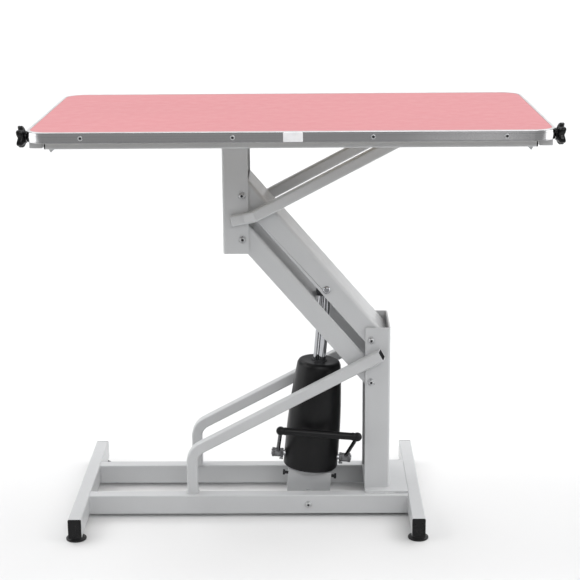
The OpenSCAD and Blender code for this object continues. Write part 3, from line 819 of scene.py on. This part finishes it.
def trim_screw_heads():
    """Cross-recessed screws: a cup ring, a domed head and its recess, made dark with painted shade, on a
    threaded shank.
    """
    shank, tip_height, tip_r, sides = 0.0018, -0.0146, 0.0006, 32
    slot_reach, slot_waist = 0.0026, 0.0016
    star = []
    for i in range(sides):
        angle = 2 * math.pi * i / sides
        reach = slot_reach if i % 8 in (7, 0, 1) else slot_waist
        star.append((reach * math.cos(angle), reach * math.sin(angle)))
    bottom = [(0.4 * a, 0.4 * b) for a, b in star]
    profile = [(0.0028, 0), (0.0034, -0.0001), (0.0040, -0.0005), (0.0043, -0.0010), (0.0048, -0.0011),
               (0.0051, -0.0013), (0.0052, -0.0016), (shank, -0.0016)]
    profile += threaded(shank, tip_height, -0.0018, 0.0014, 0.0004)[::-1] + [(tip_r, tip_height)]
    solids = []
    for low, high in islands("trim_screws"):
        centre = (low + high) / 2
        axis = 0 if high.x - low.x > high.y - low.y else 1
        facing = (X, Y)[axis] * math.copysign(1, centre[axis])
        centre[axis] = high[axis] if centre[axis] > 0 else low[axis]
        axes = axes_at(centre, Z.cross(facing), facing)
        rings = [ring_at(axes, bottom, -0.0016), ring_at(axes, star, -0.0003)]
        rings += [ring_at(axes, circle_points(radius, sides), height) for radius, height in profile]
        solids.append(skin(rings, second=(0, 1)))
    piece("trim_screw_heads", "head", "zinc", solids, ["trim_screws"], second="dark_steel_and_painted_shade")


def label_plate():
    """A blank plate stuck near the middle of the front trim."""
    low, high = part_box("edge_trim")
    width, height, off_middle, below_top = 0.0405, 0.020, 0.0053, 0.0115
    axes = axes_at((off_middle, low.y, high.z - below_top), X, -Y)
    levels = [(width - less, height - less, radius, z) for less, radius, z in (
        (0, 0.0015, -0.0004), (0, 0.0015, 0.0006), (0.0005, 0.0014, 0.0009), (0.0022, 0.001, 0.0009),
        (0.0026, 0.001, 0.0007))]
    piece("blank_plate", "head", "blank_label", [loft(axes, levels)])


def knobs():
    """Lobed hand knobs: a crowned grip with five lobes, a hub and a threaded stud."""
    lobes, sides = 5, 90
    for node, body, sign in (("clamp_knob_left", "knob_left", -1), ("clamp_knob_right", "knob_right", 1)):
        low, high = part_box(node)
        joint = pivot(body)
        axes = axes_at(joint, Y, sign * X)
        reach = (high.x if sign > 0 else -low.x) - abs(joint.x)
        tip, valley, flare = 0.024, 0.0165, 0.0055
        stem = high.x - low.x - reach

        def lobed(inset, flatten=0.0):
            ring = []
            for i in range(sides):
                angle = 2 * math.pi * i / sides
                wave = (0.5 + 0.5 * math.cos(lobes * angle)) ** 0.8
                radius = valley + (tip - valley) * wave
                radius = radius * (1 - flatten) + 0.012 * flatten - inset
                ring.append((radius * math.cos(angle), radius * math.sin(angle)))
            return ring

        def flared(ring, height):
            """The lobes' tips stand further out than the valleys between them."""
            return [axes @ Vector((a, b, height - flare * (1 - (math.hypot(a, b) / tip) ** 2)))
                    for a, b in ring]

        rings = [ring_at(axes, circle_points(radius, sides), height) for radius, height in
                 [(0.0035, -stem)] + threaded(0.005, 0.001 - stem, -0.0002) + [
                     (0.0100, 0), (0.0118, 0), (0.0124, 0.0006), (0.0126, 0.0024)]]
        grip = [(0.0062, 0.0072), (0.0036, 0.0078), (0.0014, 0.0088), (0.0003, 0.0104), (0, 0.0122),
                (0.0002, 0.0140), (0, reach - 0.0045), (0.0006, reach - 0.0020), (0.0018, reach - 0.0006),
                (0.0034, reach)]
        rings += [flared(lobed(inset), height) for inset, height in grip]
        rings += [flared(lobed(0, flatten), height) for flatten, height in
                  ((0.45, reach - 0.0012), (0.8, reach - 0.0024), (1.0, reach - 0.0030))]
        rings += [ring_at(axes, circle_points(radius, sides), height) for radius, height in
                  ((0.0095, reach - 0.0072), (0.0088, reach - 0.0072), (0.0084, reach - 0.0052),
                   (0.006, reach - 0.0046))]
        piece(node + "_grip", body, "black_plastic", [skin(rings)], [node])


# ---- Pump and pedal ----

def pedal():
    """The foot bar with its ball ends, its two arms and the clamps that hold them to the shaft."""
    balls, feet = [], []
    for side in (-1, 1):
        low, high = extent("pedal_ends", PUMP, lambda point, side=side: point.x * side > 0)
        balls.append((low + high) / 2)
        low, high = extent("pedal_clamps", PUMP, lambda point, side=side: point.x * side > 0)
        feet.append((low + high) / 2)
    radius = (extent("pedal_ends", PUMP)[1].y - extent("pedal_ends", PUMP)[0].y) / 2
    bar_r = (extent("pedal_bar", PUMP)[1].y - extent("pedal_bar", PUMP)[0].y) / 2

    ends = []
    for ball in balls:
        axes = PUMP @ axes_at(ball, Z, X)
        ends.append(lathe(axes, [(radius * math.cos(math.radians(a)), radius * math.sin(math.radians(a)))
                                 for a in range(-84, 85, 7)], 40))
    piece("pedal_ball_ends", "pedal", "black_paint", ends, ["pedal_ends"], smooth=60)

    length = balls[1].x - balls[0].x
    axes = PUMP @ axes_at(balls[0], Z, X)
    collar = 0.0008
    profile = [(bar_r - 0.001, 0.004), (bar_r + collar * 0.6, 0.0085), (bar_r + collar, 0.0105),
               (bar_r + collar * 0.6, 0.0125), (bar_r, 0.0145)]
    profile += [(r, length - d) for r, d in reversed(profile)]
    piece("pedal_foot_bar", "pedal", "black_paint", [lathe(axes, profile, 40)], ["pedal_bar"], smooth=60)

    for ball, foot, node in zip(balls, feet, ("pedal_arm_left", "pedal_arm_right")):
        axes = PUMP @ axes_at(foot, X, ball - foot)
        arm_r, shaft_r = 0.0045, 0.009
        end = (ball - foot).length - radius
        profile = [(0.0034, shaft_r)] + threaded(0.0042, shaft_r + 0.0005, shaft_r + 0.011)
        profile += [(arm_r, shaft_r + 0.012), (arm_r, end - 0.006), (arm_r + 0.0009, end),
                    (arm_r, end + 0.0025)]
        piece(node + "_rod", "pedal", "arm_steel", [lathe(axes, profile, 32)], [node])

    blocks = []
    for side in (-1, 1):
        low, high = extent("pedal_clamps", PUMP, lambda point, side=side: point.x * side > 0)
        middle, size = (low + high) / 2, high - low
        axes = PUMP @ axes_at(middle, Y, X)
        ear, waist, half = 0.0052, 0.0012, size.x / 2
        levels = [(size.y - less, size.z - less, radius, z) for less, radius, z in (
            (0.001, 0.003, -half), (0, 0.0035, 0.0005 - half), (0, 0.0035, ear - half),
            (waist, 0.003, ear + 0.0006 - half), (waist, 0.003, half - ear - 0.0006),
            (0, 0.0035, half - ear), (0, 0.0035, half - 0.0005), (0.001, 0.003, half))]
        # The steps into the waist take the near-black steel: painted shade in the notch.
        blocks.append(loft(axes, levels, second=(2, 4)))
    piece("pedal_clamp_blocks", "pedal", "clamp_chrome_painted_shade", blocks, ["pedal_clamps"],
          second="dark_steel_and_painted_shade")


def spring():
    """The return spring under the plunger: a coil drawn at one length; the real one shortens as the plunger
    goes down.
    """
    low, high = extent("plunger_spring", PUMP)
    middle = (low + high) / 2
    wire, turns, steps = 0.0007, 6, 20
    coil = (high.x - low.x) / 2 - wire
    span = high.z - low.z - 2 * wire
    rings = []
    for i in range(turns * steps + 1):
        angle = 2 * math.pi * i / steps
        outward = Vector((math.cos(angle), math.sin(angle), 0))
        spot = Vector((middle.x, middle.y, low.z + wire + span * i / (turns * steps))) + coil * outward
        rings.append([PUMP @ (spot + wire * (a * outward + b * Z)) for a, b in circle_points(1, 10)])
    coil_piece = piece("return_spring", "pump", "zinc", [skin(rings)], ["plunger_spring"], smooth=60)
    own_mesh(coil_piece)


def pump_shell():
    """The pump's drawn cover: a bowed barrel with a rolled foot, a domed top and a collar hole."""
    low, high = extent("pump_cover", PUMP)
    tuck = 0.003
    widest, foot, top = high.x, low.z + tuck, high.z
    middle, bow, wall, hole = 0.090, 3.714, 0.003, 0.0183

    def radius(height):
        return widest - (height - middle) ** 2 / bow

    steps, round_r = 36, 0.0085
    start, end = foot + 0.003, top - round_r
    heights = [start + (end - start) * i / steps for i in range(steps + 1)]
    outer = [(radius(foot) - 0.0016, foot), (radius(foot) - 0.0004, foot + 0.0004),
             (radius(foot), foot + 0.0014)]
    outer += [(radius(height), height) for height in heights]
    edge = radius(top)
    for i in range(1, 9):
        angle = math.radians(90 * i / 8)
        outer.append((edge - round_r * (1 - math.cos(angle)), top - round_r * (1 - math.sin(angle))))
    outer += [(edge - 0.014, top), (edge - 0.016, top - 0.0006), (hole + 0.0035, top - 0.0006),
              (hole + 0.001, top - 0.0002), (hole, top - 0.0012), (hole, top - wall)]
    inner = [(radius(foot + (top - wall - foot) * i / steps) - wall, foot + (top - wall - foot) * i / steps)
             for i in range(steps, -1, -1)]
    rings = [ring_at(PUMP, circle_points(r, 96), z) for r, z in outer + inner]
    piece("pump_shell", "pump", "black_paint", [skin(rings, loop=True)], ["pump_cover"], smooth=40)


EASED = {
    "base_column": 0.0009, "head_column": 0.0009, "upper_arm": 0.0009, "lower_arm": 0.0009,
    "column_plate": 0.001, "head_plate": 0.001, "pump_cradle": 0.0012, "hook_tabs": 0.0005,
    "nut_blocks": 0.0015, "rod_head": 0.0012, "gland_plate": 0.0008, "pump_base": 0.0012,
    "base_nuts": 0.0006, "head_nuts": 0.0006, "rod_pin": 0.0009,
    "cradle_bolts": 0.0005, "pedal_screws": 0.0004, "rocker_shaft": 0.0007, "piston_rod": 0.0008,
    "guide_rod": 0.0007, "pump_spacers": 0.0005,
}


def build():
    for node, width in EASED.items():
        eased(node, width)
    stays()
    brace_tubes()
    rail_plugs()
    levelling_feet()
    lift, lower = pivot("lift"), pivot("lower_arm_pivot")
    head = pivot("head_pivot")
    button_bolts("base_pivot_screws", "base", "base_pivot_bolts", [(lift.x, lift.z), (lower.x, lower.z)])
    button_bolts("head_pivot_screws", "head", "head_pivot_bolts",
                 [(head.x, head.z), (head.x, head.z + lower.z - lift.z)])
    pump = pivot("pump_tilt")
    button_bolts("pump_pivot_screw", "base", "pump_pivot_bolt", [(pump.x, pump.z)])
    pin_caps()
    welds()
    trim()
    mat()
    trim_screw_heads()
    label_plate()
    knobs()
    pedal()
    pump_shell()
    spring()


# ---- Studio ----

def camera():
    """A camera at the photograph's viewpoint."""
    spot, lens = (0.0294, -3.3746, 1.4141), 93.8
    yaw, pitch, roll = math.radians(-0.609), math.radians(14.881), math.radians(0.438)
    forward = Vector((math.sin(yaw) * math.cos(pitch), math.cos(yaw) * math.cos(pitch), -math.sin(pitch)))
    right = Vector((math.cos(yaw), -math.sin(yaw), 0))
    down = forward.cross(right)
    right, down = (
        math.cos(roll) * right + math.sin(roll) * down,
        math.cos(roll) * down - math.sin(roll) * right,
    )
    data = bpy.data.cameras.new("camera")
    data.lens = lens
    data.sensor_width = 36
    seat = add_object("camera", data)
    seat.matrix_world = Matrix.Translation(spot) @ Matrix((right, -down, -forward)).transposed().to_4x4()
    bpy.context.scene.camera = seat


def sun(name, bearing, height, strength, spread):
    """A broad soft sun: its bearing is in degrees from the front, positive to the right."""
    data = bpy.data.lights.new(name, "SUN")
    data.energy = strength
    data.angle = math.radians(spread)
    bearing, height = math.radians(bearing), math.radians(height)
    level = math.cos(height)
    source = Vector((math.sin(bearing) * level, -math.cos(bearing) * level, math.sin(height)))
    add_object(name, data).rotation_euler = source.to_track_quat("Z", "Y").to_euler()


def strip_light(name, spot, target, width, height, glow):
    """An upright lamp of a set radiance, which brushed metal mirrors and the camera doesn't see."""
    data = bpy.data.lights.new(name, "AREA")
    data.shape = "RECTANGLE"
    data.size, data.size_y = width, height
    data.energy = glow * math.pi * width * height
    lamp = add_object(name, data)
    lamp.location = spot
    lamp.rotation_euler = (Vector(target) - Vector(spot)).to_track_quat("-Z", "Y").to_euler()
    lamp.visible_camera = False


def lamps():
    """Suns from all round for soft light, and strips that the trim and the chrome mirror."""
    for name, bearing, height, strength, spread in (
            ("left_sun", -80, 36, 1.0, 45), ("right_sun", 80, 36, 1.1, 45),
            ("rear_left_sun", -128, 54, 1.1, 45), ("rear_right_sun", 128, 54, 1.1, 45),
            ("front_sun", 12, 38, 0.78, 30)):
        sun(name, bearing, height, strength, spread)
    ahead, level, tall = -2.6, 0.36, 0.68
    for name, x, width, glow in (("streak_a", 0.50, 0.03, 0.8), ("streak_b", 0.60, 0.03, 0.8),
                                 ("streak_c", 0.68, 0.03, 1.0), ("streak_d", 0.76, 0.04, 1.0)):
        strip_light(name, (x, ahead, level), (x, 0, level), width, tall, glow)
    aside, table_end, level = 3.0, 0.5, 0.45
    for name, side in (("left_glow", -1), ("right_glow", 1)):
        strip_light(name, (aside * side, 0, level), (table_end * side, 0, level), 2.6, 0.8, 1.5)


def room():
    """The world: a pale light that grows from the front's low side to the rear's high side."""
    dark, bright = 0.15, 0.58
    world = bpy.data.worlds.new("studio")
    world.use_nodes = True
    tree = world.node_tree
    depth = tree.nodes.new("ShaderNodeVectorMath")
    depth.operation = "DOT_PRODUCT"
    depth.inputs[1].default_value = (0, 0.8, 0.6)
    tree.links.new(tree.nodes.new("ShaderNodeTexCoord").outputs["Generated"], depth.inputs[0])
    background = tree.nodes["Background"]
    strength = map_range(tree, depth.outputs["Value"], -0.9, 0.75, dark, bright)
    tree.links.new(strength, background.inputs["Strength"])
    background.inputs["Color"].default_value = (0.97, 0.98, 1.0, 1)
    bpy.context.scene.world = world


def level_sheet(name, material, low, high, height):
    """A level rectangle between two corners, at a given height."""
    mesh = bpy.data.meshes.new(name)
    corners = [(low[0], low[1]), (high[0], low[1]), (high[0], high[1]), (low[0], high[1])]
    mesh.from_pydata([(x, y, height) for x, y in corners], [], [(0, 1, 2, 3)])
    mesh.materials.append(material)
    sheet = add_object(name, mesh)
    return sheet


def bounce_card():
    """A grey card just above the floor in front, which dims the floor's bounced light and what the metal
    mirrors. It is solid from above and clear from below, and the camera doesn't see it."""
    shader = Shader("bounce_card", (0.27, 0.27, 0.27), 0.9)
    tree = shader.tree
    clear = tree.nodes.new("ShaderNodeBsdfTransparent")
    sides = tree.nodes.new("ShaderNodeMixShader")
    tree.links.new(tree.nodes.new("ShaderNodeNewGeometry").outputs["Backfacing"], sides.inputs["Fac"])
    tree.links.new(shader.main.outputs["BSDF"], sides.inputs[1])
    tree.links.new(clear.outputs["BSDF"], sides.inputs[2])
    tree.links.new(sides.outputs["Shader"], tree.nodes["Material Output"].inputs["Surface"])
    card = level_sheet("bounce_card", shader.material, (-6, -9), (6, -1.6), 0.004)
    card.visible_camera = False
    card.visible_shadow = False


def floor():
    reach = 60
    shader = Shader("floor", (0.70, 0.70, 0.70), 0.9)
    shader.main.inputs["Specular IOR Level"].default_value = 0.1
    level_sheet("floor", shader.material, (-reach, -reach), (reach, reach), 0)


def studio():
    bpy.context.scene.view_settings.view_transform = "Standard"
    room()
    lamps()
    bounce_card()
    floor()


camera()
studio()
dress_nodes()
build()
